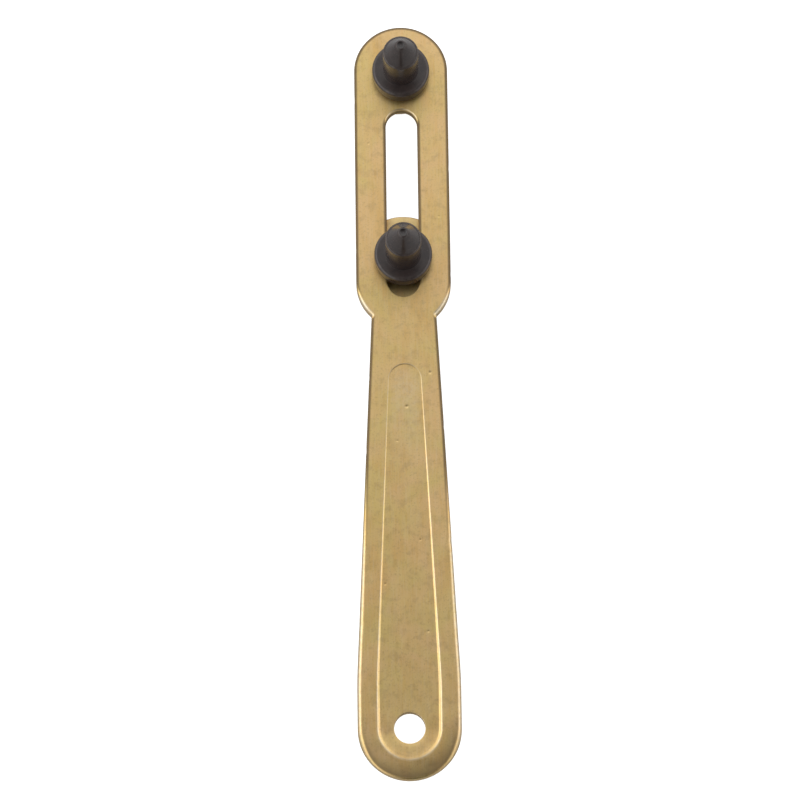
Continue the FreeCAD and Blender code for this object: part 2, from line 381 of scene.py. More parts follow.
def nick_bite(x, y):
    """How far the nicks cut into the outline."""
    bite = 0.0
    for side, ny, half, depth in NICKS:
        if side * x > 0:
            reach = (y - ny * MM) / (half * MM)
            if abs(reach) < 3:
                bite += depth * MM * math.exp(-2.0 * reach * reach)
    return bite


def shoulder_share(y):
    """1 along the head's low diagonals, which the press rounds most and where a highlight is painted."""
    return below(y, SHOULDER_START_ZONE) * (1 - below(y, SHOULDER_STOP_ZONE))


def edge_roll(y):
    """The radius of the outline's rolled edge."""
    roll = mix(EDGE_ROLL_HEAD, EDGE_ROLL_SHOULDER, shoulder_share(y))
    roll = mix(roll, EDGE_ROLL_HANDLE, below(y, HANDLE_ROLL_ZONE))
    return mix(roll, EDGE_ROLL_END, below(y, END_ROLL_ZONE))


def slot_roll(y):
    """The slot's rolled edge, which is almost sharp at the low end."""
    return mix(SLOT_ROLL, BURR_EDGE, below(y, SLOT_LOW_ZONE))


def hole_roll(y):
    """The holes are only deburred."""
    return BURR_EDGE


# Painted shade that darkens the handle's drooping end towards its rim
def end_shade(y):
    return END_SHADE * below(y, END_SHADE_ZONE)


def edge_darkening(y):
    """How dark the outline's edge is painted: a dark line on the head and upper handle, and at the end a
    share of the end's painted shade.
    """
    upper = (1 - shoulder_share(y)) * (1 - below(y, SOOT_FADE_ZONE))
    return upper + END_SHADE_SHARE * end_shade(y)


# A painted highlight on the head's low diagonals
def edge_highlight(y):
    return SHOULDER_HIGHLIGHT * shoulder_share(y)


def slot_painted_shade(y):
    """Painted shade on the slot's edge: dark along its sides and clean at both ends."""
    return below(y, SLOT_TOP_ZONE) * (1 - below(y, SLOT_LOW_ZONE))


def nowhere(y):
    """No painted darkening, highlight or shade at any height."""
    return 0.0


def top_face(x, y):
    return TOP_Z - droop(x, y) - pit_drop(x, y)


def floor_face(x, y):
    return TOP_Z - panel_depth(y) - pit_drop(x, y)


def top_shade(x, y):
    """Painted shade darkens the top face towards the rim of the handle's end."""
    return -end_shade(y) * smooth(END_DROOP_REACH - end_distance(x, y), 0, END_DROOP_REACH)


def floor_shade(x, y):
    """The panel's floor is rubbed paler near its top and darkened round the hang hole with painted shade.
    """
    rubbed = 1 - below(y, PANEL_RUB_ZONE)
    return PANEL_RUB * rubbed - FLOOR_SHADE_SHARE * end_shade(y)


# Strap mesh -----------------------------------------------------------------

class StrapMesh:
    """Collects rings that follow the contours, and fills between them."""

    def __init__(self):
        self.verts = []
        self.faces = []
        self.wear_and_painted_light = []

    def ring(self, contour, place, wear_and_light_at):
        """place(x, y, nx, ny) gives each point of the ring, and the last function, from y, its wear and
        painted light.
        """
        first = len(self.verts)
        for point in contour:
            self.verts.append(place(*point))
            self.wear_and_painted_light.append(wear_and_light_at(point[1]))
        return list(range(first, len(self.verts)))

    def strip(self, lower, upper, flip):
        """Quads between two rings of equal length."""
        count = len(lower)
        for i in range(count):
            j = (i + 1) % count
            quad = (lower[i], lower[j], upper[j], upper[i])
            self.faces.append(quad[::-1] if flip else quad)

    def strips(self, rings, flip):
        for lower, upper in zip(rings, rings[1:]):
            self.strip(lower, upper, flip)

    def fill(self, loops, extra, height, shade, up):
        """Triangles inside the first loop and outside the others.

        extra holds (x, y) points inside; height(x, y) places them and shade(x, y) is their wear and
        painted shade.
        """
        ids = [index for loop in loops for index in loop]
        flat = [Vector(self.verts[index][:2]) for index in ids]
        edges = []
        start = 0
        for loop in loops:
            count = len(loop)
            edges += [(start + i, start + (i + 1) % count) for i in range(count)]
            start += count
        for x, y in extra:
            ids.append(len(self.verts))
            self.verts.append((x, y, height(x, y)))
            self.wear_and_painted_light.append(shade(x, y))
            flat.append(Vector((x, y)))
        scaled = [point / MM for point in flat]
        _, _, triangles, sources, _, _ = delaunay_2d_cdt(scaled, edges, [], 1, 1e-5)
        holes = self.flat_loops(loops[1:])
        for triangle in triangles:
            corners = [ids[sources[v][0]] for v in triangle]
            a, b, c = (self.verts[v] for v in corners)
            middle = ((a[0] + b[0] + c[0]) / 3, (a[1] + b[1] + c[1]) / 3)
            if any(inside(hole, *middle) for hole in holes):
                continue
            turn = (b[0] - a[0]) * (c[1] - a[1]) - (b[1] - a[1]) * (c[0] - a[0])
            self.faces.append(corners if (turn > 0) == up else corners[::-1])

    def flat_loops(self, rings):
        """The (x, y) points of each ring."""
        return [[self.verts[index][:2] for index in ring] for ring in rings]


def offset_point(x, y, nx, ny, distance):
    return x + nx * distance, y + ny * distance


def wall_rings(mesh, contour, bites, wall_shade):
    """The burr edge underneath, then the cut wall up to the rolled edge; the wall is darkened by the
    given amount of painted shade.
    """
    height = TOP_Z - BOTTOM_Z
    burr_row = 0.3 * BURR_EDGE
    dent = 0.02 * MM
    rows = (
        (burr_row, burr_row, 0.9), (0.0, BURR_EDGE, 0.9), (0.0, 0.30 * height, 0.25),
        (dent, 0.36 * height, 0.4), (dent, 0.55 * height, 0.2),
    )

    def burr(x, y, nx, ny):
        return *offset_point(x, y, nx, ny, BURR_EDGE), BOTTOM_Z

    rings = [mesh.ring(contour, burr, lambda y: BURR_WEAR)]
    for inset, rise, wear_and_shade in rows:
        def wall(x, y, nx, ny, inset=inset, rise=rise):
            bite = nick_bite(x, y) * rise / height if bites else 0.0
            return *offset_point(x, y, nx, ny, inset + bite), BOTTOM_Z + rise

        rings.append(mesh.ring(contour, wall, lambda y, wear_and_shade=wear_and_shade: wear_and_shade - wall_shade))
    return rings


def roll_rings(mesh, contour, roll_at, darkening_at, highlight_at, top, bites):
    """A quarter turn over the top edge, rubbed paler most in its middle, which also paints the edge's
    highlight; the given functions add a painted highlight and painted darkening.
    """
    turns = 7
    rings = []
    for index in range(turns + 1):
        angle = math.pi / 2 * index / turns
        share_in = 1 - math.cos(angle)
        share_down = 1 - math.sin(angle)
        rubbed = 1.0 - abs(2 * index / turns - 1)

        def roll_over(x, y, nx, ny, share_in=share_in, share_down=share_down):
            roll = roll_at(y)
            bite = nick_bite(x, y) if bites else 0.0
            px, py = offset_point(x, y, nx, ny, roll * share_in + bite * (0.4 + 0.6 * share_down))
            return px, py, top(px, py) - roll * share_down - 0.35 * bite

        def roll_wear_and_light(y, rubbed=rubbed):
            return mix(rubbed + highlight_at(y), -1.0, darkening_at(y))

        rings.append(mesh.ring(contour, roll_over, roll_wear_and_light))
    return rings


def rim_rings(mesh, contour, roll_at, darkening_at, rim_shade, top):
    """Two rings on the top face, where the edge's painted darkening fades out and the rim's painted shade
    lies.
    """
    rings = []
    for reach, dark_share in ((0.15 * MM, 0.7), (0.45 * MM, 0.0)):
        def inner(x, y, nx, ny, reach=reach):
            px, py = offset_point(x, y, nx, ny, roll_at(y) + reach)
            return px, py, top(px, py)

        def rim_darkening(y, dark_share=dark_share):
            return -max(dark_share * darkening_at(y), rim_shade(y))

        rings.append(mesh.ring(contour, inner, rim_darkening))
    return rings


def rolled_edge(mesh, contour, roll_at, darkening_at, top, bites, flip,
                wall_shade=0.0, highlight_at=nowhere, rim_shade=nowhere):
    """A cut edge from the underside to the top face; returns its first and last ring.

    bites says whether the nicks cut into it, and flip that it is a hole's edge.
    """
    rings = wall_rings(mesh, contour, bites, wall_shade)
    rings += roll_rings(mesh, contour, roll_at, darkening_at, highlight_at, top, bites)
    rings += rim_rings(mesh, contour, roll_at, darkening_at, rim_shade, top)
    mesh.strips(rings, flip)
    return rings[0], rings[-1]


def panel_rings(mesh, contour):
    """The pressed panel's sloping wall, from the top face down to its floor."""
    shares = (-0.45, -0.12, 0.05, 0.2, 0.35, 0.5, 0.65, 0.8, 0.95, 1.12, 1.45)
    rings = []
    for share in shares:
        fall = smooth(share, -0.1, 1.1)

        def wall(x, y, nx, ny, share=share, fall=fall):
            px, py = offset_point(x, y, nx, ny, share * panel_wall(y))
            return px, py, TOP_Z - droop(px, py) * (1 - fall) - fall * panel_depth(py)

        # The panel's upper rim is rubbed paler, and this also paints a highlight along it
        wear_and_painted_light = 0.6 * smooth(share, -0.4, 0.1) * (1 - smooth(share, 0.2, 0.6))
        rings.append(mesh.ring(contour, wall, lambda y, wear_and_painted_light=wear_and_painted_light: wear_and_painted_light))
    mesh.strips(rings, False)
    return rings[0], rings[-1]


def inside(loop, x, y):
    """Whether a point is inside a closed loop, from how often a ray crosses it."""
    odd = False
    ax, ay = loop[-1]
    for bx, by in loop:
        if (ay > y) != (by > y) and x < (bx - ax) * (y - ay) / (by - ay) + ax:
            odd = not odd
        ax, ay = bx, by
    return odd


def on_face(loops, x, y):
    """Whether a point is inside the first loop and outside the others."""
    return inside(loops[0], x, y) and not any(inside(loop, x, y) for loop in loops[1:])


def scattered_points(loops, spacing, low_y, high_y, clear):
    """A staggered grid of points inside the first loop, outside the others, clear of all."""
    near = {}
    for loop in loops:
        for x, y in loop:
            near.setdefault((int(x // clear), int(y // clear)), []).append((x, y))
    found = []
    rows = int((high_y - low_y) / (GRID_ROW_SHARE * spacing))
    columns = int(GRID_HALF_WIDTH / spacing)
    for row in range(rows + 1):
        y = low_y + GRID_ROW_SHARE * spacing * row
        for column in range(-columns, columns + 1):
            x = spacing * (column + 0.5 * (row % 2))
            if not on_face(loops, x, y):
                continue
            cx, cy = int(x // clear), int(y // clear)
            around = [p for i in (-1, 0, 1) for j in (-1, 0, 1) for p in near.get((cx + i, cy + j), [])]
            if all(math.hypot(x - px, y - py) > clear for px, py in around):
                found.append((x, y))
    return found


def pit_points(loops):
    """Rings of extra points, so that each pit has its own shape in the mesh."""
    found = []
    for px, py, radius, _ in PITS:
        for share in (0, 0.35, 0.7, 1.1, 1.6, 2.2):
            for step in range(10 if share else 1):
                angle = math.radians(36 * step + 40 * share)
                x = px * MM + share * radius * MM * math.cos(angle)
                y = py * MM + share * radius * MM * math.sin(angle)
                if on_face(loops, x, y):
                    found.append((x, y))
    return found


def face_points(loops, high_y):
    """The points that carry a flat face's relief: two grids and the pits' own rings."""
    points = scattered_points(loops, COARSE_SPACING, FINE_GRID_TOP_Y, high_y, COARSE_CLEAR)
    points += scattered_points(loops, FINE_SPACING, PLATE_LOW.y, FINE_GRID_TOP_Y, FINE_CLEAR)
    return points + pit_points(loops)


def build_strap(material):
    """One closed mesh: four cut edges, the panel's wall, and the flat faces between them."""
    mesh = StrapMesh()
    outline = rolled_edge(
        mesh, outline_contour(), edge_roll, edge_darkening, top_face, True, False,
        highlight_at=edge_highlight, rim_shade=end_shade)
    slot = rolled_edge(
        mesh, slot_contour(), slot_roll, slot_painted_shade, top_face, False, True, SLOT_WALL_SHADE)
    pin_hole = rolled_edge(mesh, pin_hole_contour(), hole_roll, nowhere, top_face, False, True)
    hang_hole = rolled_edge(
        mesh, round_contour(HANG_HOLE_Y, HANG_HOLE_RADIUS), hole_roll, nowhere, floor_face,
        False, True, HANG_WALL_SHADE)
    panel = panel_rings(mesh, panel_contour())

    upper = [outline[1], slot[1], pin_hole[1], panel[0]]
    mesh.fill(upper, face_points(mesh.flat_loops(upper), PLATE_HIGH.y), top_face, top_shade, True)
    floor = [panel[1], hang_hole[1]]
    mesh.fill(floor, face_points(mesh.flat_loops(floor), PANEL_TOP_Y), floor_face, floor_shade, True)
    under = [outline[0], slot[0], pin_hole[0], hang_hole[0]]
    mesh.fill(under, [], top_face, top_shade, False)
    new_piece("strap_handle", mesh.verts, mesh.faces, mesh.wear_and_painted_light, "spanner",
              "handle_plate", "plated_strap", material)


# Turned pieces ---------------------------------------------------------------

def circle(radius, z, wear_and_painted_light=0.0):
    """A ring for stacked(): where its points are by angle, and its wear."""
    return lambda angle: (radius, z), wear_and_painted_light


def flatted(radius, half_flats, z, wear_and_painted_light=0.0):
    """A ring with two flats, on its left and right."""
    def place(angle):
        return min(radius, half_flats / max(abs(math.cos(angle)), 1e-6)), z
    return place, wear_and_painted_light


def thread_share(angle, z):
    """0 at a right-hand thread's root, 1 at its crest."""
    turn = (z / THREAD_PITCH - angle / (2 * math.pi)) % 1.0
    height = abs(2 * turn - 1)
    return min(1.0, max(0.0, (height - 0.25) / 0.625))


def thread_rows(low_z, high_z):
    """Heights from high to low, close enough to carry the thread."""
    count = round((high_z - low_z) / THREAD_PITCH * THREAD_ROWS)
    return [mix(high_z, low_z, index / count) for index in range(count + 1)]


def stacked(rings, centre_x, centre_y, closed_top, closed_low):
    """A mesh of rings of ROUND_STEPS points each, from the top one down.

    closed_top and closed_low are the heights of the caps' middle points, or None where it is open.
    """
    verts, faces, wear_and_painted_light = [], [], []
    for place, wear_and_shade in rings:
        for step in range(ROUND_STEPS):
            angle = 2 * math.pi * step / ROUND_STEPS
            radius, z = place(angle)
            verts.append((centre_x + radius * math.cos(angle), centre_y + radius * math.sin(angle), z))
            wear_and_painted_light.append(wear_and_shade)
    for row in range(len(rings) - 1):
        for step in range(ROUND_STEPS):
            after = (step + 1) % ROUND_STEPS
            a, b = row * ROUND_STEPS + step, row * ROUND_STEPS + after
            faces.append((a, a + ROUND_STEPS, b + ROUND_STEPS, b))
    if closed_top:
        verts.append((centre_x, centre_y, closed_top))
        wear_and_painted_light.append(0.0)
        faces += [(i, (i + 1) % ROUND_STEPS, len(verts) - 1) for i in range(ROUND_STEPS)]
    if closed_low:
        verts.append((centre_x, centre_y, closed_low))
        wear_and_painted_light.append(0.0)
        base = (len(rings) - 1) * ROUND_STEPS
        faces += [(base + (i + 1) % ROUND_STEPS, base + i, len(verts) - 1) for i in range(ROUND_STEPS)]
    return verts, faces, wear_and_painted_light


def tip_rings():
    """The drilled centre mark, darkened with painted shade, the flat tip round it and the cone."""
    tip_z = PIN_CYLINDER + CONE_HEIGHT
    cone_low = PIN_RADIUS - PIN_SHOULDER
    rings = [
        circle(0.3 * CENTRE_MARK, tip_z - 0.12 * MM, -0.7),
        circle(0.85 * CENTRE_MARK, tip_z - 0.08 * MM, -0.7),
        circle(CENTRE_MARK, tip_z, -0.5),
        circle(TIP_RADIUS - TIP_EDGE, tip_z, 0.1),
        circle(TIP_RADIUS - 0.2 * TIP_EDGE, tip_z - 0.4 * TIP_EDGE, 0.3),
    ]
    steps = 8
    for index in range(steps + 1):
        share = index / steps
        radius = mix(TIP_RADIUS + 0.15 * MM, cone_low, share)
        z = mix(tip_z - 0.22 * MM, PIN_CYLINDER, share)
        rings.append(circle(radius, z, 0.5 if index in (0, steps) else 0.0))
    for angle, wear_and_shade in ((12, 0.7), (30, 0.9), (50, 1.0), (70, 0.8), (90, 0.4)):
        turn = math.radians(angle)
        radius = cone_low + PIN_SHOULDER * math.sin(turn)
        rings.append(circle(radius, PIN_CYLINDER - PIN_SHOULDER * (1 - math.cos(turn)), wear_and_shade))
    return rings


def cylinder_rings():
    """The working cylinder down to the collar's flat top, which is at z = 0."""
    rings = []
    for share in (0.1, 0.3, 0.5, 0.7, 0.9, 0.985):
        rings.append(circle(PIN_RADIUS, mix(PIN_CYLINDER - PIN_SHOULDER, 0, share)))
    rings += [circle(PIN_RADIUS + 0.05 * MM, 0.03 * MM), circle(PIN_RADIUS + 0.2 * MM, 0)]
    rings += [circle(radius, 0) for radius in SEAT_RADII]
    return rings + [circle(SEAT_EDGE_RADIUS, 0, 0.1)]


def collar_rings(low_z):
    """The collar's rounded top edge, its side and the small bevel underneath."""
    rings = []
    steps = 8
    for index in range(steps + 1):
        angle = math.pi / 2 * index / steps
        radius = COLLAR_RADIUS - COLLAR_ROUNDING + COLLAR_ROUNDING * math.sin(angle)
        z = COLLAR_ROUNDING * math.cos(angle) - COLLAR_ROUNDING
        rings.append(circle(radius, z, 0.8 * math.sin(2 * angle) + 0.1))
    for share in (0.1, 0.5, 0.85):
        rings.append(circle(COLLAR_RADIUS, mix(-COLLAR_ROUNDING, low_z, share)))
    for inset, rise, wear_and_shade in ((0.0, 0.28, 0.9), (0.22, 0.02, 0.9), (0.35, 0.0, 0.0)):
        rings.append(circle(COLLAR_RADIUS - inset * MM, low_z + rise * MM, wear_and_shade))
    return rings + [circle(SEAT_RADII[0], low_z)]


def neck_rings(high_z, low_z):
    """The neck with two flats, which fits the slot or its own hole."""
    return [
        flatted(NECK_RADIUS, NECK_HALF_FLATS, high_z),
        flatted(NECK_RADIUS, NECK_HALF_FLATS, low_z + NECK_BEVEL),
        flatted(NECK_RADIUS - NECK_BEVEL, NECK_HALF_FLATS - NECK_BEVEL, low_z, 0.5),
        circle(THREAD_OUTER, low_z - RING_GAP),
    ]


def shank_rings(high_z, low_z):
    """The threaded shank, plain under the neck and bevelled at its end."""
    rings = []
    for z in thread_rows(low_z, high_z - THREAD_RUNOUT[0]):
        def place(angle, z=z):
            share = mix(1.0, thread_share(angle, z), smooth(high_z - z, *THREAD_RUNOUT))
            radius = mix(THREAD_ROOT, THREAD_OUTER, share)
            return min(radius, THREAD_OUTER - SHANK_BEVEL + (z - low_z)), z

        rings.append((place, 0.15))
    return rings + [circle(SHANK_END_RADIUS, low_z)]


def build_pin(name, node, body, material):
    """A turned pin; its collar's underside stays just clear of the plate, so that it can slide."""
    low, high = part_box(node)
    centre = (low + high) / 2
    collar_low = SLIDING_GAP - COLLAR_HEIGHT
    neck_low = -COLLAR_HEIGHT - NECK_HEIGHT
    rings = tip_rings() + cylinder_rings() + collar_rings(collar_low)
    rings += neck_rings(collar_low - RING_GAP, neck_low) + shank_rings(neck_low, low.z)
    mark_z = PIN_CYLINDER + CONE_HEIGHT - 0.14 * MM
    verts, faces, wear_and_painted_light = stacked(rings, centre.x, centre.y, mark_z, low.z)
    new_piece(name, verts, faces, wear_and_painted_light, body, node, "black_oxide", material)


def tube_faces(verts, faces, wear_and_painted_light, rings_count):
    """Joins the last ring back to the first, so that the piece is a closed ring."""
    base = (rings_count - 1) * ROUND_STEPS
    for step in range(ROUND_STEPS):
        after = (step + 1) % ROUND_STEPS
        faces.append((base + step, step, after, base + after))
    return verts, faces, wear_and_painted_light


def build_washer(name, node, body, material):
    """A stamped washer: one edge rolled over by the punch, the other with a burr."""
    low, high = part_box(node)
    centre = (low + high) / 2
    outer = (high.x - low.x) / 2
    thick = high.z - low.z
    roll = 0.18 * thick
    burr = 0.05 * thick
    profile = [
        (WASHER_BORE + burr, 0, 0.4), (mix(WASHER_BORE, outer, 0.33), 0, 0.0),
        (mix(WASHER_BORE, outer, 0.66), 0, 0.0), (outer - roll, 0, 0.1),
        (outer - 0.62 * roll, 0.08 * roll, 0.5), (outer - 0.3 * roll, 0.3 * roll, 0.9),
        (outer - 0.08 * roll, 0.62 * roll, 0.7), (outer, roll, 0.3),
        (outer, 0.6 * thick, 0.1), (outer, thick - burr, 0.6), (outer - burr, thick, 0.6),
        (mix(WASHER_BORE, outer, 0.66), thick, 0.0), (mix(WASHER_BORE, outer, 0.33), thick, 0.0),
        (WASHER_BORE + roll, thick, 0.2), (WASHER_BORE + 0.3 * roll, thick - 0.3 * roll, 0.7),
        (WASHER_BORE, thick - roll, 0.3), (WASHER_BORE, burr, 0.5),
    ]
    rings = [circle(radius, high.z - drop, wear_and_shade) for radius, drop, wear_and_shade in profile]
    made = tube_faces(*stacked(rings, centre.x, centre.y, None, None), len(rings))
    new_piece(name, *made, body, node, "plated_fastener", material)


def build_nut(name, node, body, turn, material):
    """A hexagon nut with turned corners and a real thread in its bore."""
    low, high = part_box(node)
    centre = (low + high) / 2
    corner = NUT_HALF_FLATS / math.cos(math.radians(30)) - NUT_CORNER_BREAK

    def hexagon(angle):
        local = (angle - turn) % math.radians(60) - math.radians(30)
        return min(NUT_HALF_FLATS / math.cos(local), corner)

    def chamfer(face_z, sign):
        def place(angle):
            drop = (hexagon(angle) - NUT_FACE_RADIUS) * math.tan(NUT_CHAMFER)
            return hexagon(angle), face_z - sign * drop
        return place, 0.8

    def face(face_z, sign):
        """A nut face's rings, from its mouth out to the chamfer."""
        return [
            circle(NUT_MOUTH_RADIUS, face_z, 0.5), circle(NUT_FACE_MIDDLE, face_z),
            circle(NUT_FACE_RADIUS - NUT_FACE_FLAT, face_z, 0.3),
            circle(NUT_FACE_RADIUS, face_z - sign * NUT_FACE_EDGE, 0.6), chamfer(face_z, sign),
        ]

    rings = face(high.z, 1)
    for share in (0.12, 0.5, 0.88):
        z = mix(high.z, low.z, share)
        rings.append(((lambda angle, z=z: (hexagon(angle), z)), 0.05))
    rings += face(low.z, -1)[::-1]
    bore = THREAD_OUTER + THREAD_PLAY
    core = THREAD_ROOT + THREAD_PLAY
    mouth = NUT_MOUTH_RADIUS - core
    for z in reversed(thread_rows(low.z + NUT_FACE_EDGE, high.z - NUT_FACE_EDGE)):
        def place(angle, z=z):
            radius = mix(core, bore, thread_share(angle, z))
            depth = min(z - low.z, high.z - z)
            return max(radius, core + mouth - depth), z

        rings.append((place, 0.1))
    made = tube_faces(*stacked(rings, centre.x, centre.y, None, None), len(rings))
    new_piece(name, *made, body, node, "plated_fastener", material, 25)


def build_spring_washer(name, node, body, material):
    """A split lock washer: a section with round corners, swept round to its leaning cut."""
    low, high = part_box(node)
    centre_y = (low.y + high.y) / 2
    outer = (high.y - low.y) / 2
    middle_z = (low.z + high.z) / 2
    half_height = (high.z - low.z) / 2
    mean = (outer + SPRING_BORE) / 2
    half_width = (outer - SPRING_BORE) / 2
    section = []
    for sx, sz, start in ((1, 1, 0), (-1, 1, 90), (-1, -1, 180), (1, -1, 270)):
        for step in range(4):
            angle = math.radians(start + 30 * step)
            section.append((
                sx * (half_width - SPRING_CORNER) + SPRING_CORNER * math.cos(angle),
                sz * (half_height - SPRING_CORNER) + SPRING_CORNER * math.sin(angle),
            ))
    gap = SPRING_GAP / mean / 2
    verts, faces, wear_and_painted_light = [], [], []
    for index in range(SPRING_STEPS + 1):
        angle = math.pi + gap + (2 * math.pi - 2 * gap) * index / SPRING_STEPS
        for across, rise in section:
            around = angle + rise * math.tan(SPRING_LEAN) / mean
            x = (mean + across) * math.cos(around)
            y = centre_y + (mean + across) * math.sin(around)
            verts.append((x, y, middle_z + rise))
            wear_and_painted_light.append(0.9 if index in (0, SPRING_STEPS) else 0.35)
    size = len(section)
    for index in range(SPRING_STEPS):
        for k in range(size):
            after = (k + 1) % size
            a, b = index * size + k, index * size + after
            faces.append((a, b, b + size, a + size))
    faces.append(tuple(range(size))[::-1])
    faces.append(tuple(range(SPRING_STEPS * size, SPRING_STEPS * size + size)))
    new_piece(name, verts, faces, wear_and_painted_light, body, node, "plated_fastener", material)


# Materials -------------------------------------------------------------------

class Nodes:
    """A short way to write a material's node tree."""

    def __init__(self, name):
        self.material = bpy.data.materials.new(name)
        self.material.use_nodes = True
        self.tree = self.material.node_tree
        self.shader = self.tree.nodes["Principled BSDF"]
        self.place = self.tree.nodes.new("ShaderNodeTexCoord").outputs["Object"]

    def node(self, kind, **values):
        made = self.tree.nodes.new("ShaderNode" + kind)
        for key, value in values.items():
            setattr(made, key, value)
        return made

    def link(self, source, target):
        self.tree.links.new(source, target)

    def stretched(self, x, y, z):
        """Object coordinates scaled along each axis."""
        node = self.node("Mapping")
        node.inputs["Scale"].default_value = (x, y, z)
        self.link(self.place, node.inputs["Vector"])
        return node.outputs["Vector"]

    def noise(self, scale, detail, rough, vector=None, distortion=0.0):
        node = self.node("TexNoise")
        node.inputs["Scale"].default_value = scale
        node.inputs["Detail"].default_value = detail
        node.inputs["Roughness"].default_value = rough
        node.inputs["Distortion"].default_value = distortion
        self.link(vector or self.place, node.inputs["Vector"])
        return node.outputs["Fac"]

    def ramp(self, source, *stops):
        """stops are (position, colour) pairs; a colour may be one number."""
        node = self.node("ValToRGB")
        while len(node.color_ramp.elements) < len(stops):
            node.color_ramp.elements.new(0.5)
        for element, (position, colour) in zip(node.color_ramp.elements, stops):
            element.position = position
            if not hasattr(colour, "__len__"):
                colour = (colour, colour, colour)
            element.color = (*colour, 1)
        self.link(source, node.inputs["Fac"])
        return node.outputs["Color"]

    def blend(self, share, first, second):
        """A mix of two colours; each value is a socket, a colour or a number."""
        node = self.node("Mix", data_type="RGBA")
        for value, socket in ((share, 0), (first, 6), (second, 7)):
            target = node.inputs[socket]
            if hasattr(value, "is_output"):
                self.link(value, target)
            elif hasattr(value, "__len__"):
                target.default_value = (*value, 1)
            else:
                target.default_value = value
        return node.outputs[2]

    def math(self, operation, first, second=0.0, third=0.0, clamp=False):
        node = self.node("Math", operation=operation, use_clamp=clamp)
        for index, value in enumerate((first, second, third)):
            if hasattr(value, "is_output"):
                self.link(value, node.inputs[index])
            else:
                node.inputs[index].default_value = value
        return node.outputs[0]

    def wear_and_painted_light(self):
        """The mesh's wear and painted light: above 0 where it is rubbed and where highlights are painted,
        below 0 where shade and dark lines are painted.
        """
        return self.node("Attribute", attribute_name="wear_and_painted_light").outputs["Fac"]

    def bump(self, height, distance, normal=None):
        node = self.node("Bump")
        node.inputs["Distance"].default_value = distance
        node.inputs["Strength"].default_value = 1.0
        self.link(height, node.inputs["Height"])
        if normal:
            self.link(normal, node.inputs["Normal"])
        return node.outputs["Normal"]


def plated_metal(name, colours, roughness, grain):
    """Yellow-passivated zinc: mottled gold, rolled grain, small stains, bright rubbed edges with painted
    highlights, and painted shade with dark edge lines.
    """
    warm, green, orange, brown, bare = colours
    n = Nodes(name)
    cloud = n.noise(55, 3, 0.6, distortion=0.5)
    colour = n.blend(n.ramp(cloud, (0.40, 0.0), (0.60, 1.0)), warm, green)
    patch = n.noise(90, 3, 0.6, n.stretched(2.0, 0.7, 1.0))
    colour = n.blend(n.ramp(patch, (0.50, 0.0), (0.68, 0.8)), colour, orange)
    blotch = n.noise(420, 4, 0.65)
    colour = n.blend(n.ramp(blotch, (0.50, 0.0), (0.75, 0.6)), colour, brown)
    speck = n.noise(1900, 3, 0.6)
    colour = n.blend(n.ramp(speck, (0.54, 0.0), (0.74, 0.6)), colour, brown)
    lines = n.noise(1.0, 3, 0.6, n.stretched(2600, 160, 900))
    colour = n.blend(n.ramp(lines, (0.35, 0.0), (0.7, 0.12)), colour, bare)
    broken = n.noise(700, 3, 0.7)
    wear_and_painted_light = n.wear_and_painted_light()
    # Rubbed edges and painted highlights turn towards bare metal; painted shade and dark edge lines turn
    # towards the dark colour
    edge = n.math("MULTIPLY", wear_and_painted_light, n.ramp(broken, (0.30, 0.25), (0.62, 1.0)), clamp=True)
    colour = n.blend(n.math("MULTIPLY", edge, 0.75), colour, bare)
    darkening = n.math("MULTIPLY", n.math("MULTIPLY", wear_and_painted_light, -1.0, clamp=True), 0.85)
    colour = n.blend(darkening, colour, DARK_LINE_AND_SHADE)
    n.link(colour, n.shader.inputs["Base Color"])
    n.shader.inputs["Metallic"].default_value = 1.0
    cloudy = n.math("MULTIPLY_ADD", n.noise(240, 4, 0.6), 0.16, roughness - 0.08)
    streaky = n.math("MULTIPLY_ADD", lines, 0.08, cloudy)
    n.link(n.math("MULTIPLY_ADD", darkening, 0.3, streaky, clamp=True), n.shader.inputs["Roughness"])
    peel = n.bump(n.noise(1100, 3, 0.55), grain)
    fine = n.bump(lines, 0.6 * grain, peel)
    n.link(fine, n.shader.inputs["Normal"])
    return n.material


def black_oxide(name):
    """Oiled black oxide on turned steel: brown tints, tool marks, thin rubbed edges, and painted shade in
    the centre mark.
    """
    n = Nodes(name)
    cloud = n.noise(420, 4, 0.6)
    colour = n.blend(n.ramp(cloud, (0.35, 0.0), (0.65, 1.0)), OXIDE_DARK, OXIDE_BROWN)
    speck = n.noise(2600, 3, 0.6)
    colour = n.blend(n.ramp(speck, (0.58, 0.0), (0.75, 0.5)), colour, OXIDE_SPECK)
    wear_and_painted_light = n.wear_and_painted_light()
    broken = n.noise(900, 3, 0.7)
    edge = n.math("MULTIPLY", wear_and_painted_light, n.ramp(broken, (0.40, 0.0), (0.70, 1.0)), clamp=True)
    colour = n.blend(n.math("MULTIPLY", edge, 0.5), colour, OXIDE_RUBBED)
    # Painted shade in the centre mark
    colour = n.blend(n.math("MULTIPLY", wear_and_painted_light, -1.0, clamp=True), colour, OXIDE_HOLLOW_SHADE)
    n.link(colour, n.shader.inputs["Base Color"])
    n.shader.inputs["IOR"].default_value = 1.60
    n.link(n.math("MULTIPLY", edge, 0.6, clamp=True), n.shader.inputs["Metallic"])
    turned = n.noise(1.0, 3, 0.6, n.stretched(60, 60, 5200))
    cloudy = n.math("MULTIPLY_ADD", n.noise(600, 3, 0.6), 0.16, 0.12)
    n.link(n.math("MULTIPLY_ADD", turned, 0.06, cloudy, clamp=True), n.shader.inputs["Roughness"])
    marks = n.bump(turned, 0.003 * MM)
    n.link(n.bump(n.noise(1100, 3, 0.6), 0.010 * MM, marks), n.shader.inputs["Normal"])
    return n.material


